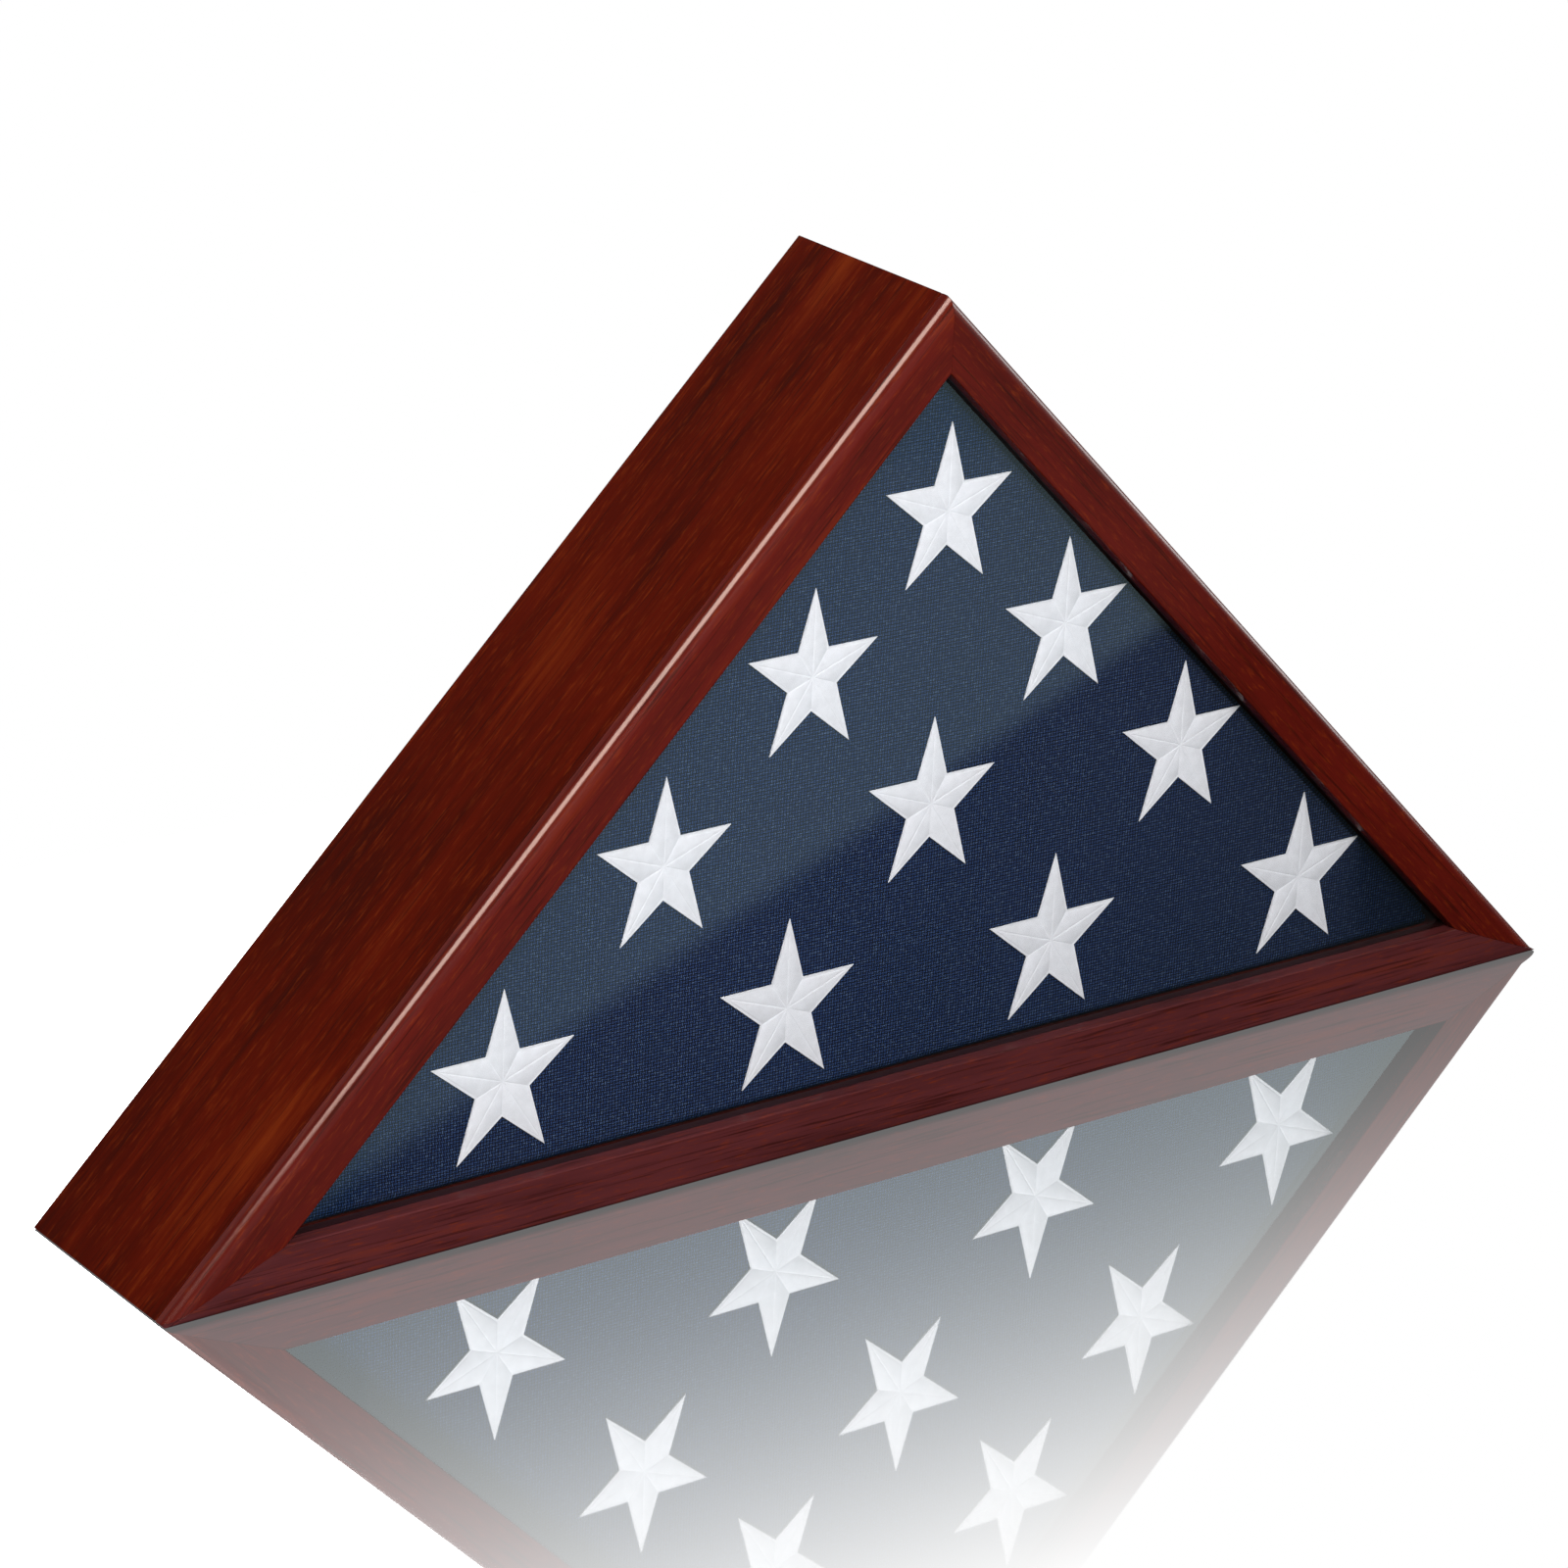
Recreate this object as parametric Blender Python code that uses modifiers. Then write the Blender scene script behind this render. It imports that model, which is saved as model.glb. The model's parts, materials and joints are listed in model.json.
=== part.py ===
"""Triangular display case for a folded flag: a mitred box with a glazed front and a lift-out back.

The front faces -Y, +X is to the viewer's right and +Z is up. The origin is the middle of the
underside of the base board. All sizes are in metres.
"""

import math

import bmesh
import bpy
from mathutils import Matrix, Vector

# Driving dimensions
WIDTH = 0.648
HEIGHT = WIDTH / 2
DEPTH = 0.095
WALL = 0.015
FACE_WIDTH = 0.0200
FACE_THICK = 0.008
LIP_THICK = 0.0057
GAP = 0.0003

# Edges
SLOPE_ROUND = 0.0055
BASE_ROUND = 0.0020
ARRIS = 0.0005
ARC_STEPS = 6

# Glazing
GLASS_INSET = WALL - 0.0010
GLASS_THICK = 0.0020
REBATE_CLEAR = 0.0005
STOP_WIDTH = 0.0030
STOP_DEPTH = 0.0050

# Back panel
PANEL_THICK = 0.0040
PANEL_REBATE = 0.0050
PANEL_CLEAR = 0.0005
LAND = WALL - PANEL_REBATE

# Flag bundle
FLAG_INSET = WALL + 0.0010
FLAG_FRONT = 0.0148
FLAG_BACK_CLEAR = 0.0025
FLAG_ROUND = 0.0060

# Stars sewn to the front of the flag, in rows from the top down
STAR_ROW_HEIGHTS = (0.238, 0.184, 0.123, 0.054)
STAR_ROW_PITCHES = (0.0, 0.118, 0.1215, 0.126)
STAR_ROW_RADII = (0.0305, 0.0306, 0.0310, 0.0322)
STAR_ROW_SHIFTS = (0.013, 0.013, 0.012, 0.0115)
STAR_TALL = 1.12
STAR_INNER = 0.382
STAR_THICK = 0.0008

# Turn buttons and their screws
BUTTON_LENGTH = 0.026
BUTTON_WIDTH = 0.0080
BUTTON_THICK = 0.0012
BUTTON_HOLE = 0.0020
BUTTON_LINE = 0.0058
SCREW_SHANK = 0.0015
SCREW_HEAD = 0.0032
SCREW_HEAD_HEIGHT = 0.0017
SCREW_LENGTH = 0.0120
SCREW_SLOT = 0.0007
SLOPE_BUTTONS = (0.22, 0.62)
BASE_BUTTONS = (0.25, 0.75)

# Wall hangers
HANGER_AT = 0.80
HANGER_LINE = 0.0062
STRAP_LENGTH = 0.034
STRAP_WIDTH = 0.0070
STRAP_THICK = 0.0009
STRAP_SCREW_AT = 0.026
BARREL_LENGTH = 0.0040
BARREL_OUTER = 0.0019
BARREL_BORE = 0.0011
RING_WIRE = 0.0008
RING_WIDTH = 0.0080
RING_LENGTH = 0.0135

# Corner nails
NAIL_WING = 0.0050
NAIL_THICK = 0.0006
NAIL_DEEP = 0.0080
NAIL_FROM_CORNER = 0.5

# Levels along Y
FRONT = -DEPTH / 2
REAR = DEPTH / 2
WALL_FRONT = FRONT + FACE_THICK + GAP
PANEL_BACK = REAR - GAP
PANEL_FRONT = PANEL_BACK - PANEL_THICK
HARDWARE_SEAT = REAR + GAP

# Corners of the outer triangle, in the XZ plane
LEFT = Vector((-WIDTH / 2, 0, 0))
RIGHT = Vector((WIDTH / 2, 0, 0))
APEX = Vector((0, 0, HEIGHT))
CENTRE = Vector((0, 0, HEIGHT * (math.sqrt(2) - 1)))

COLOURS = {
    "mahogany": ((0.125, 0.022, 0.012, 1), 0.30, 0.0),
    "glass": ((0.85, 0.90, 0.92, 1), 0.03, 0.0),
    "dark_stain": ((0.03, 0.008, 0.006, 1), 0.50, 0.0),
    "board": ((0.16, 0.075, 0.035, 1), 0.60, 0.0),
    "navy_cotton": ((0.010, 0.022, 0.065, 1), 0.90, 0.0),
    "white_thread": ((0.80, 0.80, 0.84, 1), 0.70, 0.0),
    "brassed_steel": ((0.62, 0.45, 0.18, 1), 0.30, 1.0),
    "zinc_steel": ((0.60, 0.60, 0.62, 1), 0.35, 1.0),
}


class Side:
    """One side of the triangle, from one corner to the next, with its inward direction."""

    def __init__(self, start, end, start_angle, end_angle):
        self.start = start
        self.end = end
        self.along = (end - start).normalized()
        self.length = (end - start).length
        self.inward = Vector((-self.along.z, 0, self.along.x))
        self.start_angle = math.radians(start_angle) / 2
        self.end_angle = math.radians(end_angle) / 2

    def point(self, distance, inset, depth):
        """The point at this distance along the side, this far in from its face, at depth Y."""
        spot = self.start + self.along * distance + self.inward * inset
        return Vector((spot.x, depth, spot.z))

    def turn(self):
        """Rotation that takes X along the side, Y to the back and Z inward."""
        back = Vector((0, 1, 0))
        return Matrix((self.along, back, self.inward)).transposed().to_4x4()

    def mitres(self):
        """A point and an outward normal for the mitre plane at each end."""
        a, b = self.start_angle, self.end_angle
        first = self.inward * math.cos(a) - self.along * math.sin(a)
        last = self.inward * math.cos(b) + self.along * math.sin(b)
        return (self.start, first), (self.end, last)


SIDES = {
    "base": Side(LEFT, RIGHT, 45, 45),
    "right": Side(RIGHT, APEX, 45, 90),
    "left": Side(APEX, LEFT, 90, 45),
}


def clear_scene():
    for obj in list(bpy.data.objects):
        bpy.data.objects.remove(obj, do_unlink=True)


def make_collection(name, hidden=False):
    group = bpy.data.collections.new(name)
    bpy.context.scene.collection.children.link(group)
    group.hide_render = hidden
    return group


def make_materials():
    found = {}
    for name, (colour, roughness, metallic) in COLOURS.items():
        material = bpy.data.materials.new(name)
        material.use_nodes = True
        shader = material.node_tree.nodes["Principled BSDF"]
        shader.inputs["Base Color"].default_value = colour
        shader.inputs["Roughness"].default_value = roughness
        shader.inputs["Metallic"].default_value = metallic
        material.diffuse_color = colour
        found[name] = material
    return found


def add_object(name, bm, group, material=None, place=Matrix()):
    """A named object from a bmesh, which is freed."""
    bmesh.ops.recalc_face_normals(bm, faces=bm.faces)
    mesh = bpy.data.meshes.new(name)
    bm.to_mesh(mesh)
    bm.free()
    obj = bpy.data.objects.new(name, mesh)
    obj.matrix_world = place
    if material:
        mesh.materials.append(material)
    group.objects.link(obj)
    return obj


def add_cutter(name, bm, group, place=Matrix()):
    cutter = add_object(name, bm, group, None, place)
    cutter.hide_render = True
    cutter.display_type = "WIRE"
    return cutter


def cut(obj, cutter):
    modifier = obj.modifiers.new(cutter.name, "BOOLEAN")
    modifier.operation = "DIFFERENCE"
    modifier.object = cutter


def shade_round(obj):
    obj.data.shade_smooth()
    obj.data.set_sharp_from_angle(angle=math.radians(35))


def arc(centre, radius, first, last, steps):
    """Points of an arc from one angle to another, in degrees."""
    angles = [math.radians(first + (last - first) * i / steps) for i in range(steps + 1)]
    return [(centre[0] + radius * math.cos(a), centre[1] + radius * math.sin(a)) for a in angles]


def fill_cut(bm, cut_edges):
    edges = [item for item in cut_edges if isinstance(item, bmesh.types.BMEdge)]
    bmesh.ops.edgeloop_fill(bm, edges=edges)


def slice_off(bm, point, normal):
    """Cut away what lies past the plane and close the cut."""
    geometry = bm.verts[:] + bm.edges[:] + bm.faces[:]
    done = bmesh.ops.bisect_plane(
        bm, geom=geometry, dist=1e-7, plane_co=point, plane_no=normal, clear_outer=True
    )
    fill_cut(bm, done["geom_cut"])


def mitred_bar(side, outline):
    """A bar with this (inset, depth) outline along a side of the triangle, mitred at both ends."""
    bm = bmesh.new()
    ring = [bm.verts.new(side.point(0, inset, depth)) for inset, depth in outline]
    face = bm.faces.new(ring)
    done = bmesh.ops.extrude_face_region(bm, geom=[face])
    moved = [item for item in done["geom"] if isinstance(item, bmesh.types.BMVert)]
    bmesh.ops.translate(bm, verts=moved, vec=side.along * side.length)
    for point, normal in side.mitres():
        slice_off(bm, point - normal * GAP / 2, normal)
    return bm


def triangle_plate(inset, low, high):
    """A flat triangular plate between two depths, set in from the outer triangle."""
    bm = bmesh.new()
    corners = []
    for corner in (LEFT, RIGHT, APEX):
        spot = CENTRE + (corner - CENTRE) * (1 - inset / CENTRE.z)
        corners.append(bm.verts.new((spot.x, low, spot.z)))
    face = bm.faces.new(corners)
    done = bmesh.ops.extrude_face_region(bm, geom=[face])
    moved = [item for item in done["geom"] if isinstance(item, bmesh.types.BMVert)]
    bmesh.ops.translate(bm, verts=moved, vec=(0, high - low, 0))
    return bm


def cylinder(radius, low, high, steps=24, centre=(0, 0)):
    """A closed cylinder along Y, centred on (x, z), between two depths."""
    bm = bmesh.new()
    bmesh.ops.create_cone(
        bm, cap_ends=True, segments=steps, radius1=radius, radius2=radius, depth=high - low
    )
    bmesh.ops.rotate(bm, verts=bm.verts, matrix=Matrix.Rotation(math.pi / 2, 3, "X"))
    bmesh.ops.translate(bm, verts=bm.verts, vec=(centre[0], (low + high) / 2, centre[1]))
    return bm


def extruded(outline, low, high):
    """A plate along Y from an outline of (x, z) points."""
    bm = bmesh.new()
    face = bm.faces.new([bm.verts.new((x, low, z)) for x, z in outline])
    done = bmesh.ops.extrude_face_region(bm, geom=[face])
    moved = [item for item in done["geom"] if isinstance(item, bmesh.types.BMVert)]
    bmesh.ops.translate(bm, verts=moved, vec=(0, high - low, 0))
    return bm


def side_board(name, side, group, material):
    """A wall of the box, with a rebate for the back panel along its rear inner edge."""
    outline = [
        (0, WALL_FRONT),
        (0, REAR - ARRIS),
        (ARRIS, REAR),
        (LAND, REAR),
        (LAND, PANEL_FRONT - GAP),
        (WALL, PANEL_FRONT - GAP),
        (WALL, WALL_FRONT),
    ]
    return add_object(name, mitred_bar(side, outline), group, material)


def face_rail(name, side, group, material, rounding):
    """A front rail with a rounded outer edge and a rebate behind its lip for the glass."""
    lip_back = FRONT + LIP_THICK
    back = FRONT + FACE_THICK
    outer = arc((rounding, FRONT + rounding), rounding, 180, 270, ARC_STEPS)
    outline = outer + [
        (FACE_WIDTH - ARRIS, FRONT),
        (FACE_WIDTH, FRONT + ARRIS),
        (FACE_WIDTH, lip_back),
        (GLASS_INSET - REBATE_CLEAR, lip_back),
        (GLASS_INSET - REBATE_CLEAR, back),
        (0, back),
    ]
    rail = add_object(name, mitred_bar(side, outline), group, material)
    shade_round(rail)
    return rail


def glass_stop(name, side, group, material):
    """A small square strip against the wall, which holds the glass in its rebate."""
    inner = WALL + GAP
    low = FRONT + FACE_THICK + GAP
    outline = [
        (inner, low),
        (inner, low + STOP_DEPTH),
        (inner + STOP_WIDTH - ARRIS, low + STOP_DEPTH),
        (inner + STOP_WIDTH, low + STOP_DEPTH - ARRIS),
        (inner + STOP_WIDTH, low),
    ]
    return add_object(name, mitred_bar(side, outline), group, material)


def glass_pane(group, material):
    low = FRONT + LIP_THICK + GAP / 2
    return add_object("glass_pane", triangle_plate(GLASS_INSET, low, low + GLASS_THICK), group, material)


def back_panel(group, material):
    inset = LAND + PANEL_CLEAR
    return add_object("back_panel", triangle_plate(inset, PANEL_FRONT, PANEL_BACK), group, material)


def folded_flag(group, material):
    """The plain outer form of the folded flag, which fills the box behind the glass."""
    low = FRONT + FLAG_FRONT
    high = PANEL_FRONT - FLAG_BACK_CLEAR
    flag = add_object("folded_flag", triangle_plate(FLAG_INSET, low, high), group, material)
    rounding = flag.modifiers.new("soft_edges", "BEVEL")
    rounding.width = FLAG_ROUND
    rounding.segments = 3
    shade_round(flag)
    return flag


def star_outline(radius):
    """The ten corners of an upright five-pointed star, a little taller than it is wide."""
    corners = []
    for step in range(10):
        angle = math.radians(90 + 36 * step)
        reach = radius * (STAR_INNER if step % 2 else 1)
        corners.append((reach * math.cos(angle), reach * math.sin(angle) * STAR_TALL))
    return corners


def flag_stars(group, material):
    """Rows of one, two, three and four white stars on the front of the flag."""
    high = FRONT + FLAG_FRONT - GAP
    rows = zip(STAR_ROW_HEIGHTS, STAR_ROW_PITCHES, STAR_ROW_RADII, STAR_ROW_SHIFTS)
    for row, (height, pitch, radius, shift) in enumerate(rows):
        for place in range(row + 1):
            across = shift + (place - row / 2) * pitch
            spot = Matrix.Translation((across, 0, height))
            star = extruded(star_outline(radius), high - STAR_THICK, high)
            add_object(f"flag_star_{row + 1}_{place + 1}", star, group, material, spot)


def button_mesh():
    """A plate with round ends and a screw hole, its pivot at the origin, lying along +X."""
    radius = BUTTON_WIDTH / 2
    reach = BUTTON_LENGTH - BUTTON_WIDTH
    outline = arc((0, 0), radius, 90, 270, 10) + arc((reach, 0), radius, -90, 90, 10)
    return extruded(outline, HARDWARE_SEAT, HARDWARE_SEAT + BUTTON_THICK)


def screw_mesh(seat):
    """A pan-head screw along Y at the origin, its head on top of the seat."""
    bm = bmesh.new()
    bottom = seat - SCREW_LENGTH
    top = seat + SCREW_HEAD_HEIGHT
    profile = [
        (0, bottom),
        (SCREW_SHANK * 0.4, bottom),
        (SCREW_SHANK, bottom + 2 * SCREW_SHANK),
        (SCREW_SHANK, seat),
        (SCREW_HEAD, seat),
        (SCREW_HEAD, seat + SCREW_HEAD_HEIGHT * 0.35),
        (SCREW_HEAD * 0.80, top - SCREW_HEAD_HEIGHT * 0.15),
        (SCREW_HEAD * 0.45, top),
        (0, top),
    ]
    ring = [bm.verts.new((radius, depth, 0)) for radius, depth in profile]
    edges = [bm.edges.new(pair) for pair in zip(ring, ring[1:])]
    bmesh.ops.spin(
        bm, geom=ring + edges, axis=(0, 1, 0), cent=(0, 0, 0), angle=2 * math.pi, steps=20, use_merge=True
    )
    bmesh.ops.remove_doubles(bm, verts=bm.verts, dist=1e-6)
    return bm


def pinned_screw(name, spot, seat, turn, group, hidden, material):
    """A slotted screw at a spot on the rear, and the cutter for the hole it needs."""
    place = Matrix.Translation((spot.x, 0, spot.z)) @ turn
    screw = add_object(name, screw_mesh(seat), group, material, place)
    slot = bmesh.new()
    bmesh.ops.create_cube(slot, size=1)
    bmesh.ops.scale(slot, verts=slot.verts, vec=(SCREW_HEAD * 3, SCREW_SLOT * 2, SCREW_SLOT))
    bmesh.ops.translate(slot, verts=slot.verts, vec=(0, seat + SCREW_HEAD_HEIGHT, 0))
    cut(screw, add_cutter(name + "_slot", slot, hidden, place))
    shade_round(screw)
    low = seat - SCREW_LENGTH - GAP
    hole = cylinder(SCREW_SHANK + GAP, low, seat + SCREW_HEAD_HEIGHT)
    return add_cutter(name + "_hole", hole, hidden, place)


def turn_buttons(boards, group, hidden, materials):
    """Two turn buttons on the rear edge of each wall, parked along it, each on its own screw."""
    places = {"left": SLOPE_BUTTONS, "right": SLOPE_BUTTONS, "base": BASE_BUTTONS}
    for key, spots in places.items():
        side = SIDES[key]
        for number, share in enumerate(spots, start=1):
            if key == "left":
                share = 1 - share
            spot = side.point(side.length * share, BUTTON_LINE, 0)
            turn = side.turn()
            if key == "left" or (key == "base" and number == 2):
                turn = turn @ Matrix.Rotation(math.pi, 4, "Y")
            place = Matrix.Translation((spot.x, 0, spot.z)) @ turn
            name = f"turn_button_{key}_{number}"
            button = add_object(name, button_mesh(), group, materials["brassed_steel"], place)
            low, high = HARDWARE_SEAT - GAP, HARDWARE_SEAT + BUTTON_THICK + GAP
            bore = add_cutter(name + "_bore", cylinder(BUTTON_HOLE, low, high), hidden, place)
            cut(button, bore)
            seat = HARDWARE_SEAT + BUTTON_THICK + GAP
            screw_name = f"button_screw_{key}_{number}"
            steel = materials["brassed_steel"]
            hole = pinned_screw(screw_name, spot, seat, side.turn(), group, hidden, steel)
            cut(boards[key], hole)


def strap_outline():
    """Flat outline of a hanger strap, its barrel at the origin and its tail along +X."""
    half = STRAP_WIDTH / 2
    neck = BARREL_LENGTH / 2
    tail = arc((STRAP_LENGTH - half, 0), half, -90, 90, 10)
    return [(0, -neck), (BARREL_OUTER * 2, -neck), (BARREL_OUTER * 3, -half)] + tail + [
        (BARREL_OUTER * 3, half),
        (BARREL_OUTER * 2, neck),
        (0, neck),
    ]


def barrel_axis_depth():
    return HARDWARE_SEAT + BARREL_OUTER


def along_z(radius, length, steps, depth):
    """A cylinder whose axis runs along Z at a depth."""
    bm = bmesh.new()
    bmesh.ops.create_cone(
        bm, cap_ends=True, segments=steps, radius1=radius, radius2=radius, depth=length
    )
    bmesh.ops.translate(bm, verts=bm.verts, vec=(0, depth, 0))
    return bm


def hanger_strap(name, place, group, hidden, material):
    """A strap with a rolled barrel at its upper end, which carries the ring."""
    plate = extruded(strap_outline(), HARDWARE_SEAT, HARDWARE_SEAT + STRAP_THICK)
    strap = add_object(name, plate, group, material, place)
    depth = barrel_axis_depth()
    roll = add_cutter(name + "_roll", along_z(BARREL_OUTER, BARREL_LENGTH, 20, depth), hidden, place)
    join = strap.modifiers.new("barrel", "BOOLEAN")
    join.operation = "UNION"
    join.object = roll
    bore = add_cutter(name + "_bore", along_z(BARREL_BORE, STRAP_WIDTH * 2, 20, depth), hidden, place)
    cut(strap, bore)
    low, high = HARDWARE_SEAT - GAP, HARDWARE_SEAT + STRAP_THICK + GAP
    hole = cylinder(SCREW_SHANK + GAP, low, high, centre=(STRAP_SCREW_AT, 0))
    cut(strap, add_cutter(name + "_hole", hole, hidden, place))
    shade_round(strap)
    return strap


def hanger_ring(name, place, group, material):
    """A D-shaped wire ring whose straight bar turns in the strap's barrel, hanging along the strap."""
    half = RING_WIDTH / 2 - RING_WIRE
    reach = RING_LENGTH - 2 * RING_WIRE
    corner = 0.0012
    bend = arc((corner, -half + corner), corner, 180, 270, 3)
    bow = arc((reach - half, 0), half, -90, 90, 12)
    route = bend + bow + [(x, -z) for x, z in reversed(bend)]
    curve = bpy.data.curves.new(name, "CURVE")
    curve.dimensions = "3D"
    curve.bevel_depth = RING_WIRE
    curve.bevel_resolution = 2
    spline = curve.splines.new("POLY")
    spline.points.add(len(route) - 1)
    for point, (x, z) in zip(spline.points, route):
        point.co = (x, 0, z, 1)
    spline.use_cyclic_u = True
    curve.materials.append(material)
    ring = bpy.data.objects.new(name, curve)
    ring.matrix_world = place @ Matrix.Translation((0, barrel_axis_depth(), 0))
    group.objects.link(ring)
    return ring


def wall_hangers(boards, group, hidden, materials):
    """A strap, ring and screw near the top of each sloping wall."""
    steel = materials["zinc_steel"]
    for key in ("left", "right"):
        side = SIDES[key]
        share = 1 - HANGER_AT if key == "left" else HANGER_AT
        spot = side.point(side.length * share, HANGER_LINE, 0)
        turn = side.turn()
        if key == "right":
            turn = turn @ Matrix.Rotation(math.pi, 4, "Y")
        place = Matrix.Translation((spot.x, 0, spot.z)) @ turn
        hanger_strap(f"hanger_strap_{key}", place, group, hidden, steel)
        hanger_ring(f"hanger_ring_{key}", place, group, steel)
        screw_spot = place @ Vector((STRAP_SCREW_AT, 0, 0))
        seat = HARDWARE_SEAT + STRAP_THICK + GAP
        hole = pinned_screw(f"hanger_screw_{key}", screw_spot, seat, turn, group, hidden, steel)
        cut(boards[key], hole)


def nail_mesh(wing, low, high):
    """The two open walls of a V nail, its bend at the origin and its wings spread about +X."""
    bm = bmesh.new()
    lean = wing * math.sqrt(0.5)
    ring = [bm.verts.new((x, low, z)) for x, z in ((lean, -lean), (0, 0), (lean, lean))]
    edges = [bm.edges.new(pair) for pair in zip(ring, ring[1:])]
    done = bmesh.ops.extrude_edge_only(bm, edges=edges)
    moved = [item for item in done["geom"] if isinstance(item, bmesh.types.BMVert)]
    bmesh.ops.translate(bm, verts=moved, vec=(0, high - low, 0))
    return bm


def thicken(obj, thickness):
    shell = obj.modifiers.new("thickness", "SOLIDIFY")
    shell.thickness = thickness
    shell.offset = 0
    shell.use_even_offset = True


def corner_nails(boards, group, hidden, material):
    """A V nail across each mitre, let into the rear edges of the two boards."""
    corners = {
        "left": (LEFT, "left", "base"),
        "right": (RIGHT, "right", "base"),
        "apex": (APEX, "left", "right"),
    }
    for name, (corner, first, second) in corners.items():
        inward = (CENTRE - corner).normalized()
        half_angle = math.asin(CENTRE.z / (CENTRE - corner).length)
        reach = LAND * NAIL_FROM_CORNER / math.sin(half_angle)
        spot = corner + inward * reach
        turn = Matrix((inward, Vector((0, 1, 0)), Vector((-inward.z, 0, inward.x)))).transposed().to_4x4()
        place = Matrix.Translation(spot) @ turn
        nail = f"corner_nail_{name}"
        sheet = nail_mesh(NAIL_WING, REAR - NAIL_DEEP, REAR - GAP)
        thicken(add_object(nail, sheet, group, material, place), NAIL_THICK)
        room = nail_mesh(NAIL_WING + GAP, REAR - NAIL_DEEP - GAP, REAR + GAP)
        cutter = add_cutter(nail + "_slot", room, hidden, place)
        thicken(cutter, NAIL_THICK + 2 * GAP)
        cut(boards[first], cutter)
        cut(boards[second], cutter)


def main():
    clear_scene()
    group = make_collection("flag_display_case")
    hidden = make_collection("cutters", hidden=True)
    materials = make_materials()
    wood = materials["mahogany"]
    boards = {}
    names = {"base": "base_board", "left": "side_board_left", "right": "side_board_right"}
    for key, name in names.items():
        boards[key] = side_board(name, SIDES[key], group, wood)
    for key, side in SIDES.items():
        rounding = BASE_ROUND if key == "base" else SLOPE_ROUND
        face_rail(f"face_rail_{key}", side, group, wood, rounding)
        glass_stop(f"glass_stop_{key}", side, group, materials["dark_stain"])
    glass_pane(group, materials["glass"])
    folded_flag(group, materials["navy_cotton"])
    flag_stars(group, materials["white_thread"])
    back_panel(group, materials["board"])
    turn_buttons(boards, group, hidden, materials)
    wall_hangers(boards, group, hidden, materials)
    corner_nails(boards, group, hidden, materials["zinc_steel"])


main()
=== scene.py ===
"""Folded flag display case: the looks of every piece, and the studio that it is shown in."""

import json
import math

import bmesh
import bpy
from mathutils import Matrix, Quaternion, Vector

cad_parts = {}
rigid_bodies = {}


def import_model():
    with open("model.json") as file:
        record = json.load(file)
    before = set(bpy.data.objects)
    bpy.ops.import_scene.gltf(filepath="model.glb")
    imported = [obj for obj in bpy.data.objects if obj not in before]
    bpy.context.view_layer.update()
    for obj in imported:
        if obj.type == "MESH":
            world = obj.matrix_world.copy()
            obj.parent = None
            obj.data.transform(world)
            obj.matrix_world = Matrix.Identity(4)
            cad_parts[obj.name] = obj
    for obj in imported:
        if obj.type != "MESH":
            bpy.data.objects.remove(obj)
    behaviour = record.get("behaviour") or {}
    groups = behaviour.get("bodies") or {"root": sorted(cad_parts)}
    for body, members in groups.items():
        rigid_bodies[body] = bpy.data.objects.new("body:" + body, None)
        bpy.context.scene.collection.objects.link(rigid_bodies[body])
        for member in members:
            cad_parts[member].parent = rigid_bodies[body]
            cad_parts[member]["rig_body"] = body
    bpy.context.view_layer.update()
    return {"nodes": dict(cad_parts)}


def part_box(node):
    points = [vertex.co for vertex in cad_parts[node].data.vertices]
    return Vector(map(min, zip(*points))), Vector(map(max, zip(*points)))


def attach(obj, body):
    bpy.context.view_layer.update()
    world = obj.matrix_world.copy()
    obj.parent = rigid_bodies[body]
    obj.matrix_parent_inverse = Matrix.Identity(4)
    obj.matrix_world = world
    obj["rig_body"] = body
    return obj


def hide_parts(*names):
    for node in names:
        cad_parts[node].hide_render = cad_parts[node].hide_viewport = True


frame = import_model()

bl_info = {
    "name": "Folded Flag Display Case",
    "version": (1, 0, 0),
    "blender": (4, 5, 0),
    "location": "View3D > Sidebar > Flag Case",
    "description": "Builds a mahogany display case with a folded flag, its fittings and its studio",
    "category": "Object",
}

# Gap between parts that touch, and between the cloth and what is round it
GAP = 0.0003
CLEAR = 0.0002

# From the outer face of the case in to the edge of the glass
GLASS_INSET = 0.0140

# Size of the case, and the levels along Y that its parts share
WIDTH = 2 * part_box("glass_pane")[1].x + 2 * GLASS_INSET * (1 + math.sqrt(2))
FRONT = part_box("face_rail_base")[0].y
RAIL_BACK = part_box("face_rail_base")[1].y
WALL_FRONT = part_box("base_board")[0].y
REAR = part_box("base_board")[1].y
PANEL_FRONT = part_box("back_panel")[0].y
FLAG_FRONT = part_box("folded_flag")[0].y
FLAG_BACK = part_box("folded_flag")[1].y
STAR_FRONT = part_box("flag_star_1_1")[0].y
STAR_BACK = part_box("flag_star_1_1")[1].y

# Section of the wooden bars: the rails' face and lip, the boards' thickness and rear land
FACE_WIDTH = 0.0200
LIP_THICK = 0.0057
GLASS_REBATE = GLASS_INSET - GAP
WALL = 0.015
LAND = 0.010
JOINT_GAP = 0.00010

# Steps round an edge: wide roundings, and narrow ones
ARC_STEPS = 12
ARRIS_STEPS = 3
WIDE_ROUND = 0.001

# How strongly the boards and the rails are figured, and the weight of their lacquer
BOARD_FIGURE, BOARD_LACQUER = 2.1, 0.005
RAIL_FIGURE, RAIL_LACQUER = 1.2, 0.26

# A five-pointed star: its notches against its tips, its stitched border and the seam between wedges
STAR_NOTCH = 0.382
STAR_BORDER = 0.0009
STAR_SEAM = 0.0006
STAR_EDGE = 0.00018

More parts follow.
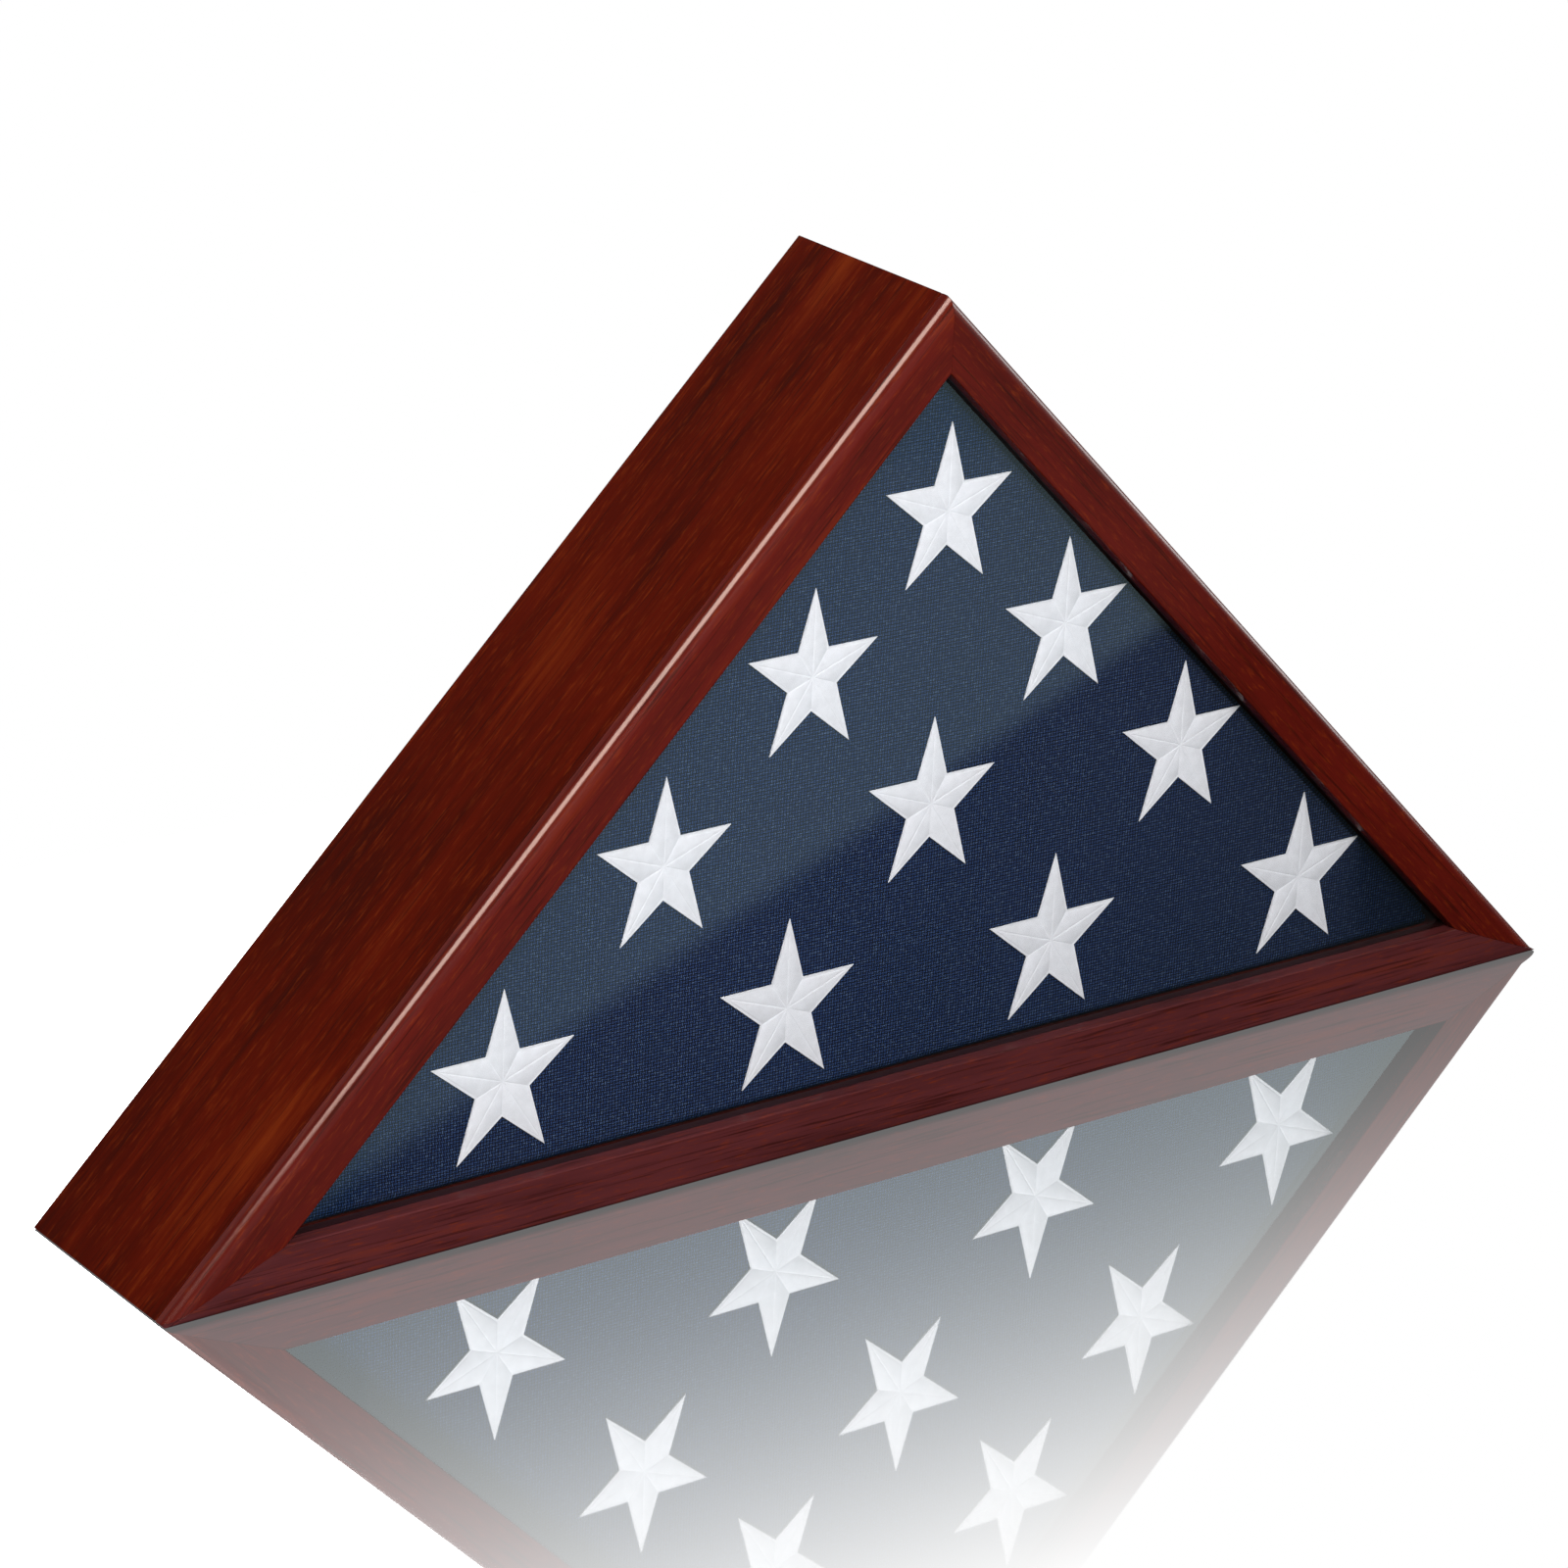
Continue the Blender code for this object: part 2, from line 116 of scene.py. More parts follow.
# The floor lights the glass from in front of the line y = -LIT_START - LIT_SLOPE * x, as a painted glow
# that the glass shows as a painted reflection: bright there, dark nearer the case
LIT_START = 0.207
LIT_SLOPE = 0.488

WEIGHTED = ("WEIGHTED_NORMAL", {"keep_sharp": True, "weight": 100})

# Corners of the outer triangle, in the XZ plane
LEFT = Vector((-WIDTH / 2, 0, 0))
RIGHT = Vector((WIDTH / 2, 0, 0))
APEX = Vector((0, 0, WIDTH / 2))
CENTRE = Vector((0, 0, WIDTH / 2 * (math.sqrt(2) - 1)))


class CASE_PG_wood(bpy.types.PropertyGroup):
    """Sizes and colours of the mahogany."""

    slope_round: bpy.props.FloatProperty(
        name="Slope Rounding",
        description="Radius of the outer front edge of the two sloping rails",
        default=0.0055,
        min=0.0005,
        max=0.0075,
        unit="LENGTH",
    )
    base_round: bpy.props.FloatProperty(
        name="Base Rounding",
        description="Radius of the lower front edge of the base rail",
        default=0.0020,
        min=0.0005,
        max=0.0075,
        unit="LENGTH",
    )
    arris: bpy.props.FloatProperty(
        name="Arris",
        description="Radius sanded onto the other edges",
        default=0.0007,
        min=0.0001,
        max=0.002,
        unit="LENGTH",
    )
    dark: bpy.props.FloatVectorProperty(
        name="Dark Streaks",
        description="Stain where the grain is densest",
        default=(0.022, 0.0028, 0.0012),
        size=3,
        subtype="COLOR",
    )
    middle: bpy.props.FloatVectorProperty(
        name="Stain",
        description="Stain over most of the wood",
        default=(0.089, 0.0050, 0.0005),
        size=3,
        subtype="COLOR",
    )
    rail: bpy.props.FloatVectorProperty(
        name="Rail Stain",
        description="Redder stain of the front rails",
        default=(0.100, 0.0066, 0.0034),
        size=3,
        subtype="COLOR",
    )
    # Stain of the base rail with a painted reflection haze: its raised green and blue stand in for the pale
    # floor mirrored in its face
    base_rail_stain_and_haze: bpy.props.FloatVectorProperty(
        name="Base Rail Stain",
        description="Stain on the front rail along the base, cooler than the others",
        default=(0.094, 0.0190, 0.0205),
        size=3,
        subtype="COLOR",
    )
    light: bpy.props.FloatVectorProperty(
        name="Light Figure",
        description="Stain on the light flecks of the figure",
        default=(0.190, 0.0250, 0.0030),
        size=3,
        subtype="COLOR",
    )


class CASE_PG_cloth(bpy.types.PropertyGroup):
    """Cut size, fold and colours of the flag."""

    flat_width: bpy.props.FloatProperty(
        name="Flat Width",
        description="Height of the flag as it was cut",
        default=1.524,
        unit="LENGTH",
    )
    flat_length: bpy.props.FloatProperty(
        name="Flat Length",
        description="Length of the flag as it was cut",
        default=2.896,
        unit="LENGTH",
    )
    ply_pitch: bpy.props.FloatProperty(
        name="Ply Pitch",
        description="Distance from one ply of the folded flag to the next",
        default=0.00118,
        unit="LENGTH",
    )
    cloth: bpy.props.FloatProperty(
        name="Cloth",
        description="Thickness of the cotton",
        default=0.0005,
        unit="LENGTH",
    )
    thread: bpy.props.FloatProperty(
        name="Thread Pitch",
        description="Distance from one thread of the weave to the next",
        default=0.0013,
        unit="LENGTH",
    )
    navy: bpy.props.FloatVectorProperty(
        name="Navy",
        description="Dyed cotton of the field",
        default=(0.0034, 0.0120, 0.0460),
        size=3,
        subtype="COLOR",
    )
    # Colour of the painted highlights on the thread crowns, shown as pale flecks
    glint_tint: bpy.props.FloatVectorProperty(
        name="Light Fibre",
        description="Loose pale fibres in the weave",
        default=(0.105, 0.170, 0.290),
        size=3,
        subtype="COLOR",
    )
    star: bpy.props.FloatVectorProperty(
        name="Star Thread",
        description="White thread of the stars",
        default=(0.95, 0.95, 0.99),
        size=3,
        subtype="COLOR",
    )


class CASE_PG_fittings(bpy.types.PropertyGroup):
    """Colours of the metal fittings, the back panel and the glass."""

    brass: bpy.props.FloatVectorProperty(
        name="Brassed Steel",
        description="Plating of the turn buttons and their screws",
        default=(0.62, 0.43, 0.17),
        size=3,
        subtype="COLOR",
    )
    zinc: bpy.props.FloatVectorProperty(
        name="Zinc",
        description="Plating of the hangers and corner nails",
        default=(0.58, 0.59, 0.61),
        size=3,
        subtype="COLOR",
    )
    board: bpy.props.FloatVectorProperty(
        name="Hardboard",
        description="Pressed fibre of the back panel",
        default=(0.150, 0.070, 0.032),
        size=3,
        subtype="COLOR",
    )
    stop_stain: bpy.props.FloatVectorProperty(
        name="Stop Stain",
        description="Dark stain of the strips that hold the glass",
        default=(0.020, 0.0045, 0.0040),
        size=3,
        subtype="COLOR",
    )
    sheen: bpy.props.FloatVectorProperty(
        name="Glass Sheen",
        description="Tint of what the glass reflects",
        default=(0.66, 0.94, 1.0),
        size=3,
        subtype="COLOR",
    )


class CASE_PG_studio(bpy.types.PropertyGroup):
    """The floor and the camera."""

    floor: bpy.props.FloatVectorProperty(
        name="Floor",
        description="Colour of the floor",
        default=(1.0, 1.0, 1.0),
        size=3,
        subtype="COLOR",
    )
    mirror: bpy.props.FloatProperty(
        name="Floor Mirror",
        description="Share of the floor's light that is reflection, against the case",
        default=0.86,
        subtype="FACTOR",
    )
    mirror_reach: bpy.props.FloatProperty(
        name="Mirror Reach",
        description="Distance from the case over which the reflection fades out",
        default=0.30,
        unit="LENGTH",
    )
    lens: bpy.props.FloatProperty(
        name="Lens",
        description="Focal length of the camera",
        default=123.82,
        unit="CAMERA",
    )
    camera_place: bpy.props.FloatVectorProperty(
        name="Camera Place",
        description="Where the camera stands",
        default=(-1.1591, -1.4978, 0.8583),
        size=3,
        unit="LENGTH",
    )
    camera_aim: bpy.props.FloatVectorProperty(
        name="Camera Aim",
        description="The point at the middle of the view",
        default=(-0.0318, 0.0, 0.1283),
        size=3,
        unit="LENGTH",
    )
    camera_roll: bpy.props.FloatProperty(
        name="Camera Roll",
        description="Turn of the camera about its own line of sight",
        default=math.radians(2.3756),
        unit="ROTATION",
    )


class Side:
    """One side of the triangle, from one corner to the next, with its inward direction."""

    def __init__(self, start, end, start_angle, end_angle):
        self.start = start
        self.end = end
        self.along = (end - start).normalized()
        self.length = (end - start).length
        self.inward = Vector((-self.along.z, 0, self.along.x))
        self.start_angle = math.radians(start_angle) / 2
        self.end_angle = math.radians(end_angle) / 2

    def point(self, distance, inset, depth):
        """The point at this distance along the side, this far in from its face, at depth Y."""
        spot = self.start + self.along * distance + self.inward * inset
        return Vector((spot.x, depth, spot.z))

    def mitres(self):
        """A point and an outward normal for the mitre plane at each end."""
        a, b = self.start_angle, self.end_angle
        first = self.inward * math.cos(a) - self.along * math.sin(a)
        last = self.inward * math.cos(b) + self.along * math.sin(b)
        return (self.start, first), (self.end, last)

    def grain(self):
        """Angle about Y that turns the side's length onto X."""
        return math.atan2(self.along.z, self.along.x)


SIDES = {
    "base": Side(LEFT, RIGHT, 45, 45),
    "right": Side(RIGHT, APEX, 45, 90),
    "left": Side(APEX, LEFT, 90, 45),
}


class Amount:
    """The value of one socket. Sums on it add Math nodes to its finish."""

    def __init__(self, finish, socket):
        self.finish = finish
        self.socket = socket

    def math(self, operation, *terms):
        return self.finish.add("ShaderNodeMath", {"operation": operation}, dict(enumerate(terms)))

    def __add__(self, other):
        return self.math("ADD", self, other)

    def __radd__(self, other):
        return self.math("ADD", other, self)

    def __sub__(self, other):
        return self.math("SUBTRACT", self, other)

    def __rsub__(self, other):
        return self.math("SUBTRACT", other, self)

    def __mul__(self, other):
        return self.math("MULTIPLY", self, other)

    def __truediv__(self, other):
        return self.math("DIVIDE", self, other)

    def __pow__(self, other):
        return self.math("POWER", self, other)

    def sine(self):
        return self.math("SINE", self)

    def size(self):
        return self.math("ABSOLUTE", self)

    def above(self, floor):
        return self.math("MAXIMUM", self, floor)

    def ramp(self, start, end):
        """0 up to start, 1 from end, and a smooth step between."""
        values = {"Value": self, "From Min": start, "From Max": end}
        return self.finish.add("ShaderNodeMapRange", {"interpolation_type": "SMOOTHSTEP"}, values)


class Finish:
    """A material's node tree, or the world's."""

    def __init__(self, name, owner=None):
        self.owner = owner or bpy.data.materials.new(name)
        self.owner.use_nodes = True
        self.tree = self.owner.node_tree
        self.tree.nodes.clear()

    def add(self, kind, settings=None, values=None, output=0):
        """A node with its settings and then its sockets set, as the amount at one of its outputs."""
        node = self.tree.nodes.new(kind)
        for key, setting in (settings or {}).items():
            if key == "stops":
                self.set_stops(node.color_ramp, setting)
            else:
                setattr(node, key, setting)
        for key, value in (values or {}).items():
            socket = node.inputs[key]
            if isinstance(value, Amount):
                self.tree.links.new(value.socket, socket)
            elif socket.type == "RGBA" and len(value) == 3:
                socket.default_value = (*value, 1)
            else:
                socket.default_value = value
        return Amount(self, node.outputs[output]) if len(node.outputs) else None

    def set_stops(self, ramp, stops):
        """The colours of a ramp and their positions."""
        while len(ramp.elements) < len(stops):
            ramp.elements.new(0.5)
        for element, (position, shade) in zip(ramp.elements, stops):
            element.position = position
            element.color = (*shade, 1)

    def place(self, turn=0.0, shift=(0, 0, 0), scale=(1, 1, 1)):
        """Object coordinates, turned about Y, moved and scaled."""
        spot = self.add("ShaderNodeTexCoord", output="Object")
        turned = self.add("ShaderNodeMapping", None, {0: spot, "Rotation": (0, turn, 0), "Location": shift})
        return self.add("ShaderNodeVectorMath", {"operation": "MULTIPLY"}, {0: turned, 1: scale})

    def axes(self, spot):
        parts = self.add("ShaderNodeSeparateXYZ", None, {0: spot})
        outputs = parts.socket.node.outputs
        return [Amount(self, outputs[i]) for i in range(3)]

    def noise(self, spot, scale, detail=2.0, roughness=0.5, distortion=0.0):
        values = {"Vector": spot, "Scale": scale, "Detail": detail}
        values.update({"Roughness": roughness, "Distortion": distortion})
        return self.add("ShaderNodeTexNoise", None, values)

    def mix(self, factor, first, second):
        """Two colours mixed by a factor."""
        return self.add("ShaderNodeMix", {"data_type": "RGBA"}, {0: factor, 6: first, 7: second}, 2)

    def ramp(self, amount, stops):
        return self.add("ShaderNodeValToRGB", {"stops": stops}, {0: amount})

    def bump(self, height, strength, distance):
        values = {"Height": height, "Strength": strength, "Distance": distance}
        return self.add("ShaderNodeBump", None, values)

    def surface(self, shader):
        end = "World" if isinstance(self.owner, bpy.types.World) else "Material"
        self.add(f"ShaderNodeOutput{end}", None, {"Surface": shader})
        return self.owner

    def principled(self, values):
        return self.surface(self.add("ShaderNodeBsdfPrincipled", None, values))


def times(colour, factor):
    """A colour made darker or lighter."""
    return [c * factor for c in colour]


def mahogany(name, turn, shift, stain, figured, lacquer):
    """Stained and lacquered mahogany with its grain along one bar, more or less figured."""
    wood = bpy.context.scene.case_wood
    m = Finish(name)
    bands = m.noise(m.place(turn, shift, (0.045, 1, 1)), 62, 3, 0.55, 0.3)
    streaks = m.noise(m.place(turn, shift, (0.030, 1, 1)), 330, 4, 0.62)
    fibres = m.noise(m.place(turn, shift, (0.022, 1, 1)), 1100, 2, 0.6)
    flecks = m.noise(m.place(turn, shift, (0.14, 1, 1)), 800, 3, 0.6)
    cloud = m.noise(m.place(turn, shift, (0.40, 1, 1)), 24, 3, 0.5)
    figure = (bands * 0.44 + streaks * 0.20 + cloud * 0.36 - 0.5) * figured + 0.5
    stops = [
        (0.20, tuple(wood.dark)),
        (0.40, times(stain, 0.68)),
        (0.58, tuple(stain)),
        (0.92, tuple(wood.light)),
    ]
    body = m.ramp(figure, stops)
    glow = m.mix(flecks.ramp(0.50, 0.76) * 0.52, body, tuple(wood.light))
    pores = fibres.ramp(0.47, 0.30)
    colour = m.mix(pores * 0.68, glow, tuple(wood.dark))
    relief = m.bump(fibres * 0.6 + streaks * 0.4, 0.07, 0.00025)
    return m.principled(
        {
            "Base Color": colour,
            "Roughness": 0.34 + streaks * 0.20,
            "Specular IOR Level": 0.01,
            "Coat Weight": lacquer,
            "Coat Roughness": 0.17,
            "Normal": relief,
        }
    )


def dark_stain():
    """Black-brown stain on the strips that hold the glass."""
    m = Finish("dark_stain")
    fibres = m.noise(m.place(scale=(0.2, 1, 1)), 900, 3)
    tint = bpy.context.scene.case_fittings.stop_stain
    colour = m.mix(fibres, times(tint, 0.6), times(tint, 1.7))
    relief = m.bump(fibres, 0.2, 0.0002)
    return m.principled({"Base Color": colour, "Roughness": 0.42 + fibres * 0.2, "Normal": relief})


def hardboard():
    """Pressed fibre: a hard brown face with matted flecks."""
    m = Finish("hardboard")
    spot = m.place()
    mat = m.noise(spot, 1300, 5, 0.7, 1.2)
    patches = m.noise(spot, 38, 4, 0.6)
    flecks = m.noise(m.place(0.6, scale=(0.3, 1, 1)), 1700, 1)
    tint = bpy.context.scene.case_fittings.board
    ground = m.mix(mat, times(tint, 0.62), times(tint, 1.35))
    clouded = m.mix(patches * 0.45, ground, times(tint, 0.72))
    colour = m.mix(flecks.ramp(0.62, 0.72) * 0.5, clouded, times(tint, 2.3))
    relief = m.bump(mat, 0.35, 0.0003)
    return m.principled({"Base Color": colour, "Roughness": 0.48 + mat * 0.3, "Normal": relief})


def clear_glass():
    """Picture glass: it lets light through, and reflects by the angle it is seen at."""
    m = Finish("picture_glass")
    ripple = m.bump(m.noise(m.place(), 7, 1), 0.02, 0.001)
    through = m.add("ShaderNodeBsdfTransparent", None, {0: (0.985, 0.985, 0.985)})
    sheen = tuple(bpy.context.scene.case_fittings.sheen)
    gloss = m.add("ShaderNodeBsdfGlossy", None, {"Color": sheen, "Roughness": 0.012, "Normal": ripple})
    inside = m.add("ShaderNodeNewGeometry", output="Backfacing")
    both_faces = m.add("ShaderNodeFresnel", None, {"IOR": 1.50}) * (1 - inside) * 1.85
    return m.surface(m.add("ShaderNodeMixShader", None, {0: both_faces, 1: through, 2: gloss}))


def navy_cotton():
    """Plain-woven cotton: threads that pass over and under each other, with painted shade in the hollows
    between them, painted light on their crowns and painted highlights as pale flecks on the crowns.
    """
    cloth = bpy.context.scene.case_cloth
    m = Finish("navy_cotton")
    spot = m.place()
    x, _, z = m.axes(spot)
    wander = (m.noise(spot, 260, 2) - 0.5) * 0.9
    across = (x * (math.pi / cloth.thread) + wander).sine()
    up = (z * (math.pi / cloth.thread) + wander).sine()
    over = (across * up).ramp(-0.35, 0.35)
    height = over * across * across + (1 - over) * up * up
    warp = m.noise(m.place(scale=(1, 1, 0.08)), 900, 2)
    weft = m.noise(m.place(scale=(0.08, 1, 1)), 900, 2)
    slub = warp * over + weft * (1 - over)
    # Painted shade and light: the navy darkens in the hollows between threads and lightens on their crowns
    painted_weave_light = height * height * 1.25 + slub * 0.35 - 0.28
    shade = m.mix(painted_weave_light, times(cloth.navy, 0.22), times(cloth.navy, 2.9))
    # Painted highlights: pale flecks, mottled by noise, only where a thread crowns
    painted_thread_glint = (m.noise(spot, 620, 2, 0.65).ramp(0.45, 0.72) + 0.12) * height * height
    colour = m.mix(painted_thread_glint * 0.55, shade, tuple(cloth.glint_tint))
    relief = m.bump(height + slub * 0.5, 0.80, 0.00035)
    values = {"Base Color": colour, "Roughness": 0.92, "Specular IOR Level": 0.18, "Normal": relief}
    return m.principled(values)


def star_thread():
    """White satin-stitched thread, slightly mottled."""
    white = bpy.context.scene.case_cloth.star
    m = Finish("star_thread")
    spot = m.place()
    mottle = m.noise(spot, 210, 3, 0.6)
    stitches = m.noise(m.place(0.35, scale=(0.16, 1, 1)), 2100, 2, 0.6)
    pale = m.mix(mottle.ramp(0.34, 0.66) * 0.6 + stitches * 0.2, times(white, 0.90), tuple(white))
    relief = m.bump(stitches * 0.5 + mottle, 0.32, 0.0004)
    values = {"Base Color": pale, "Roughness": 0.72, "Specular IOR Level": 0.25, "Normal": relief}
    return m.principled(values)


def plated(name, tint, roughness):
    """Plated steel with fine brushing, dulled in patches."""
    m = Finish(name)
    brushing = m.noise(m.place(0.7, scale=(0.05, 1, 1)), 2600, 2)
    dull = m.noise(m.place(), 240, 3, 0.6)
    colour = m.mix(dull.ramp(0.42, 0.72) * 0.55, tuple(tint), times(tint, 0.55))
    relief = m.bump(brushing, 0.12, 0.0001)
    sheen = brushing * 0.14 + dull * 0.22 + roughness
    return m.principled({"Base Color": colour, "Metallic": 1.0, "Roughness": sheen, "Normal": relief})


def show(name, bm, finish, body, node, modifiers=()):
    """A finished piece from a bmesh, which is freed, in place of one part."""
    bmesh.ops.recalc_face_normals(bm, faces=bm.faces)
    mesh = bpy.data.meshes.new(name)
    bm.to_mesh(mesh)
    bm.free()
    piece = bpy.data.objects.new(name, mesh)
    bpy.context.scene.collection.objects.link(piece)
    mesh.materials.append(finish)
    mesh.shade_smooth()
    mesh.set_sharp_from_angle(angle=math.radians(32))
    for kind, values in modifiers:
        modifier = piece.modifiers.new(kind.lower(), kind)
        for key, value in values.items():
            setattr(modifier, key, value)
    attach(piece, body)
    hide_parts(node)
    return piece


def paint(node, finish):
    """A better finish on a part that keeps its shape."""
    mesh = frame["nodes"][node].data
    mesh.materials.clear()
    mesh.materials.append(finish)


def sharp_edges(bm, degrees):
    """The edges whose faces meet at more than this angle."""
    least = math.radians(degrees)
    return [e for e in bm.edges if e.is_manifold and e.calc_face_angle() > least]


def new_verts(done):
    """The vertices that a bmesh operator has made."""
    return [item for item in done["geom"] if isinstance(item, bmesh.types.BMVert)]


def eased_copy(node, name, finish, ease, sharp_angle=30):
    """A merged copy of a part, its sharp edges eased, in place of the part."""
    part = frame["nodes"][node]
    bm = bmesh.new()
    bm.from_mesh(part.data)
    bmesh.ops.remove_doubles(bm, verts=bm.verts, dist=1e-6)
    bmesh.ops.dissolve_limit(bm, angle_limit=math.radians(0.6), verts=bm.verts, edges=bm.edges)
    if ease:
        bevel(bm, sharp_edges(bm, sharp_angle), ease, 2)
    show(name, bm, finish, part["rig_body"], node, [WEIGHTED])


def bevel(bm, edges, radius, steps):
    """Round these edges."""
    bmesh.ops.bevel(
        bm,
        geom=edges,
        offset=radius,
        offset_type="OFFSET",
        segments=steps,
        profile=0.5,
        affect="EDGES",
        clamp_overlap=True,
        material=-1,
    )


def slice_off(bm, point, normal):
    """Cut away what lies past the plane and close the cut."""
    geometry = bm.verts[:] + bm.edges[:] + bm.faces[:]
    done = bmesh.ops.bisect_plane(
        bm, geom=geometry, dist=1e-7, plane_co=point, plane_no=normal, clear_outer=True
    )
    edges = [item for item in done["geom_cut"] if isinstance(item, bmesh.types.BMEdge)]
    bmesh.ops.edgeloop_fill(bm, edges=edges)


def mitred_bar(side, section):
    """A bar along a side, mitred at both ends, from a section of (inset, depth, rounding) corners."""
    bm = bmesh.new()
    ring = [bm.verts.new(side.point(0, inset, depth)) for inset, depth, _ in section]
    face = bm.faces.new(ring)
    done = bmesh.ops.extrude_face_region(bm, geom=[face])
    bmesh.ops.translate(bm, verts=new_verts(done), vec=side.along * side.length)
    for corner, (_, _, rounding) in zip(ring, section):
        if rounding:
            lengthwise = [e for e in corner.link_edges if e.calc_length() > side.length / 2]
            bevel(bm, lengthwise, rounding, ARC_STEPS if rounding > WIDE_ROUND else ARRIS_STEPS)
    for point, normal in side.mitres():
        slice_off(bm, point - normal * JOINT_GAP / 2, normal)
    return bm


def fold(bm, point, normal, level, from_level, steps=6):
    """Fold what lies past a crease back over the rest, about an axis at this level, round a bend."""
    crease = Vector((-normal.y, normal.x, 0))
    axis_point = Vector((point.x, point.y, level))
    live = [f for f in bm.faces if all(v.co.z > from_level for v in f.verts)]
    edges = {e for f in live for e in f.edges}
    verts = {v for f in live for v in f.verts}
    done = bmesh.ops.bisect_plane(
        bm, geom=[*verts, *edges, *live], dist=1e-6, plane_co=point, plane_no=normal
    )
    cut = [item for item in done["geom_cut"] if isinstance(item, bmesh.types.BMEdge)]
    bmesh.ops.split_edges(bm, edges=cut)
    live = [f for f in bm.faces if all(v.co.z > from_level for v in f.verts)]
    far = [f for f in live if (f.calc_center_median() - point).dot(normal) > 1e-6]
    near_edges = [
        e
        for e in bm.edges
        if len(e.link_faces) == 1
        and e.link_faces[0] not in far
        and all(abs((v.co - point).dot(normal)) < 2e-6 and v.co.z > from_level for v in e.verts)
    ]
    turned = list({v for f in far for v in f.verts})
    bmesh.ops.rotate(bm, verts=turned, cent=axis_point, matrix=Matrix.Rotation(-math.pi, 3, crease))
    bmesh.ops.spin(
        bm, geom=near_edges, cent=axis_point, axis=crease, angle=-math.pi, steps=steps, use_duplicate=False
    )
    bmesh.ops.remove_doubles(bm, verts=bm.verts, dist=2e-5)


def folded_sheet(width, length, pitch):
    """The flag folded twice along its length and then into one triangle, its square corner at the origin.

    The strip has four plies, so each turn into the triangle lies four plies higher than the last.
    """
    bm = bmesh.new()
    bmesh.ops.create_grid(bm, x_segments=1, y_segments=1, size=0.5)
    bmesh.ops.translate(bm, verts=bm.verts, vec=(0.5, 0.5, 0))
    bmesh.ops.scale(bm, verts=bm.verts, vec=(length, width, 1))
    strip = width / 4
    fold(bm, Vector((0, width / 2, 0)), Vector((0, 1, 0)), pitch / 2, -pitch, 4)
    fold(bm, Vector((0, strip, 0)), Vector((0, 1, 0)), 1.5 * pitch, -pitch)
    corner = Vector((0, 0, 0))
    diagonal = (Vector((strip, 0, 0)), Vector((1, 1, 0)).normalized())
    legs = [(corner, Vector((0, -1, 0))), (corner, Vector((-1, 0, 0)))]
    for turn in range(int(length / strip * 2)):
        point, normal = diagonal if turn % 2 == 0 else legs[turn // 2 % 2]
        fold(bm, point, normal, (4 * turn + 3.5) * pitch, (4 * turn - 0.3) * pitch)
    return bm


class CASE_OT_boards(bpy.types.Operator):
    """Make the three boards of the box, rebated for the back panel"""

    bl_idname = "flag_case.boards"
    bl_label = "Box Boards"

    def execute(self, context):
        wood = context.scene.case_wood
        arris = wood.arris
        names = {"base": "base_board", "left": "side_board_left", "right": "side_board_right"}
        for index, (key, side) in enumerate(SIDES.items()):
            section = [
                (0, WALL_FRONT, 0.0003),
                (0, REAR, arris),
                (LAND, REAR, arris / 2),
                (LAND, PANEL_FRONT - GAP, 0),
                (WALL, PANEL_FRONT - GAP, 0.0003),
                (WALL, WALL_FRONT, 0),
            ]
            name, shift = f"mahogany_board_{key}", (0.31 + index, 0.17, 0.4)
            finish = mahogany(name, side.grain(), shift, wood.middle, BOARD_FIGURE, BOARD_LACQUER)
            board = mitred_bar(side, section)
            show(f"box_board_{key}", board, finish, "case", names[key], [WEIGHTED])
        return {"FINISHED"}


class CASE_OT_rails(bpy.types.Operator):
    """Make the three rounded front rails"""

    bl_idname = "flag_case.rails"
    bl_label = "Front Rails"

    def execute(self, context):
        wood = context.scene.case_wood
        for index, (key, side) in enumerate(SIDES.items()):
            rounding = wood.base_round if key == "base" else wood.slope_round
            section = [
                (0, FRONT, rounding),
                (FACE_WIDTH, FRONT, wood.arris),
                (FACE_WIDTH, FRONT + LIP_THICK, 0.0002),
                (GLASS_REBATE, FRONT + LIP_THICK, 0),
                (GLASS_REBATE, RAIL_BACK, 0),
                (0, RAIL_BACK, 0.0003),
            ]
            # The base rail takes its stain with the painted reflection haze mixed in
            stain = wood.base_rail_stain_and_haze if key == "base" else wood.rail
            name, shift = f"mahogany_rail_{key}", (2.7 + index, 0.53, 0.9)
            finish = mahogany(name, side.grain(), shift, stain, RAIL_FIGURE, RAIL_LACQUER)
            rail, node = mitred_bar(side, section), f"face_rail_{key}"
            show(f"front_rail_{key}", rail, finish, "case", node, [WEIGHTED])
        return {"FINISHED"}


class CASE_OT_glazing(bpy.types.Operator):
    """Finish the glass and the strips that hold it"""

    bl_idname = "flag_case.glazing"
    bl_label = "Glazing"

    def execute(self, context):
        paint("glass_pane", clear_glass())
        stain = dark_stain()
        for key in SIDES:
            paint(f"glass_stop_{key}", stain)
        return {"FINISHED"}


